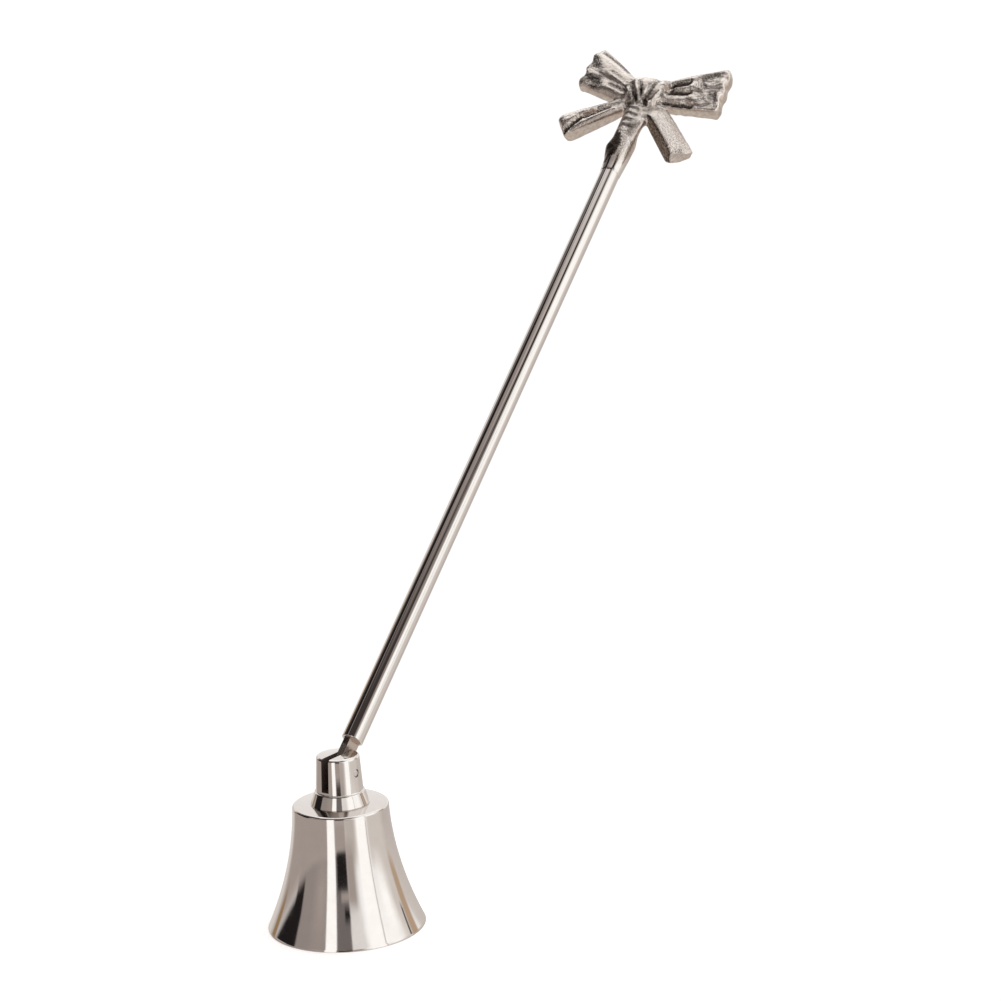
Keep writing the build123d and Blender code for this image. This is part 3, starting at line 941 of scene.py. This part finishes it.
# %% [markdown]
# ## The studio
# Bright metal shows little of its own: what is seen in it is the room. A product studio is a
# white room with a few cards, pale ones to draw a bright edge and black ones to draw a dark one.
# The cards are painted into the world by direction, as seen from the snuffer, so they stand in
# nobody's way. The camera itself sees plain white. The floor is a round of white paper under the
# bell that holds its shadow and melts into that white. It ends before the bow, which dips under
# the rim's level when the handle is swung right down.


# %% Paint the room
def room_card(tree, room, azimuth, elevation, colour, azimuth_span, elevation_span, softness):
    """Lays a soft-edged card, given by its middle and half spans in degrees, over the room."""
    turn = math_node(tree, "WRAP", math_node(tree, "SUBTRACT", azimuth, azimuth_span[0]), 180.0, -180.0)
    beside = math_node(tree, "SUBTRACT", math_node(tree, "ABSOLUTE", turn), azimuth_span[1])
    rise = math_node(tree, "SUBTRACT", elevation, elevation_span[0])
    above = math_node(tree, "SUBTRACT", math_node(tree, "ABSOLUTE", rise), elevation_span[1])
    share = math_node(
        tree, "MULTIPLY",
        ramp(tree, beside, -softness, softness, 1.0, 0.0),
        ramp(tree, above, -softness, softness, 1.0, 0.0),
    )
    return tint(tree, share, room, colour)


black_card = (0.016, 0.014, 0.014)
shadow_card = (0.05, 0.042, 0.04)
dusk_card = (0.19, 0.168, 0.165)
grey_card = (0.34, 0.295, 0.28)
dim_card = (0.43, 0.375, 0.35)
pale_card = (0.60, 0.55, 0.52)
bright_card = (0.88, 0.85, 0.84)
crown_card = (0.93, 0.90, 0.89)
white_card = (1.25, 1.25, 1.24)
tan_card = (0.54, 0.40, 0.285)
room_paint = (0.74, 0.695, 0.66)
bark_card = (0.34, 0.225, 0.12)
# Each card: its colour, then middle and half span in degrees for azimuth and elevation, softness.
# Azimuth is 0 towards the camera and grows to the right of the picture.
room_cards = [
    (room_paint, (0, 181), (-47, 47), 2.0),
    (room_paint, (98, 18), (10, 16), 8.0),
    (pale_card, (150, 40), (-28, 20), 8.0),
    (room_paint, (-148, 14), (22, 24), 6.0),
    (dim_card, (-76, 62), (-20, 22), 6.0),
    (grey_card, (-20, 70), (70, 42), 6.0),
    (pale_card, (6, 16), (69, 7), 4.0),
    (crown_card, (180, 52), (28, 13), 4.0),
    (white_card, (180, 52), (56, 17), 5.0),
    (white_card, (76, 26), (30, 16), 9.0),
    (white_card, (80, 11), (9, 9), 7.0),
    (bright_card, (0, 181), (90, 17), 4.0),
    (shadow_card, (-26, 46), (43, 16), 4.0),
    (grey_card, (-60, 36), (14, 16), 1.5),
    (dim_card, (-42, 10), (10, 10.5), 8.0),
    (black_card, (-103, 23), (33, 31), 1.5),
    (dusk_card, (-130, 16), (41, 16), 3.0),
    (black_card, (-87, 8), (6, 5), 1.5),
    (white_card, (48, 14), (5, 24), 5.0),
    (pale_card, (21, 12), (-20, 20), 5.0),
    (dim_card, (17, 9), (6, 11), 4.0),
    (bright_card, (19, 11), (24, 7), 3.0),
    (black_card, (33, 8.5), (55, 9), 3.5),
    (white_card, (-22.3, 8.6), (-4, 34), 1.0),
    (dim_card, (-2, 11.5), (-25, 22), 1.5),
    (pale_card, (-2, 11.5), (-32, 17), 3.0),
    (dusk_card, (-2, 11.5), (14, 16.5), 1.0),
    (black_card, (-1, 9.5), (3.5, 6.5), 1.0),
    (dim_card, (3, 7.5), (12.2, 1.4), 0.8),
    (black_card, (5, 4.5), (17.5, 2), 1.2),
    (dim_card, (61, 0.7), (8, 22), 0.7),
    (tan_card, (117, 7), (8, 15), 2.0),
    (bark_card, (-129, 5), (8, 14), 1.5),
    (black_card, (107, 1.4), (12, 8), 0.8),
]
facing_camera = math.atan2(camera_back.y, camera_back.x)

world = bpy.data.worlds.new("white_studio")
bpy.context.scene.world = world
world.use_nodes = True
tree = world.node_tree
background = tree.nodes["Background"]
outward = tree.nodes.new("ShaderNodeTexCoord").outputs["Generated"]
direction = add(tree, "ShaderNodeSeparateXYZ", Vector=outward)
east, north, up = (direction.outputs[axis] for axis in "XYZ")
heading = math_node(tree, "DEGREES", math_node(tree, "ARCTAN2", north, east))
azimuth = math_node(tree, "SUBTRACT", heading, math.degrees(facing_camera))
elevation = math_node(tree, "DEGREES", math_node(tree, "ARCSINE", up))
ray = tree.nodes.new("ShaderNodeLightPath")
seen = math_node(tree, "MAXIMUM", ray.outputs["Is Glossy Ray"], ray.outputs["Is Transmission Ray"])
room = tint(tree, seen, room_paint, (1, 1, 1))
for colour, azimuth_span, elevation_span, softness in room_cards:
    room = room_card(tree, room, azimuth, elevation, colour, azimuth_span, elevation_span, softness)
backdrop_white = (1.03, 1.03, 1.03)
shown = tint(tree, ray.outputs["Is Camera Ray"], room, backdrop_white)
tree.links.new(shown, background.inputs["Color"])
print("room cards:", len(room_cards))

# %% Lay the floor
floor_radius = 150 * mm
floor_glow = 0.62
bpy.ops.object.select_all(action="DESELECT")
bpy.ops.mesh.primitive_circle_add(
    vertices=128, radius=floor_radius, fill_type="NGON", location=(0, 0, -merge_gap)
)
floor = bpy.context.object
floor.name = "studio_floor"
paper = bpy.data.materials.new("white_paper")
paper.use_nodes = True
tree = paper.node_tree
shader = tree.nodes["Principled BSDF"]
shader.inputs["Base Color"].default_value = (0.84, 0.83, 0.82, 1)
shader.inputs["Roughness"].default_value = 0.9
shader.inputs["Specular IOR Level"].default_value = 0.1
shader.inputs["Emission Color"].default_value = (1, 1, 1, 1)
ray = tree.nodes.new("ShaderNodeLightPath")
seen = math_node(tree, "MAXIMUM", ray.outputs["Is Camera Ray"], ray.outputs["Is Transmission Ray"])
seen = math_node(tree, "MAXIMUM", seen, ray.outputs["Is Glossy Ray"])
tree.links.new(math_node(tree, "MULTIPLY", seen, floor_glow), shader.inputs["Emission Strength"])
floor.data.materials.append(paper)
floor.visible_glossy = False
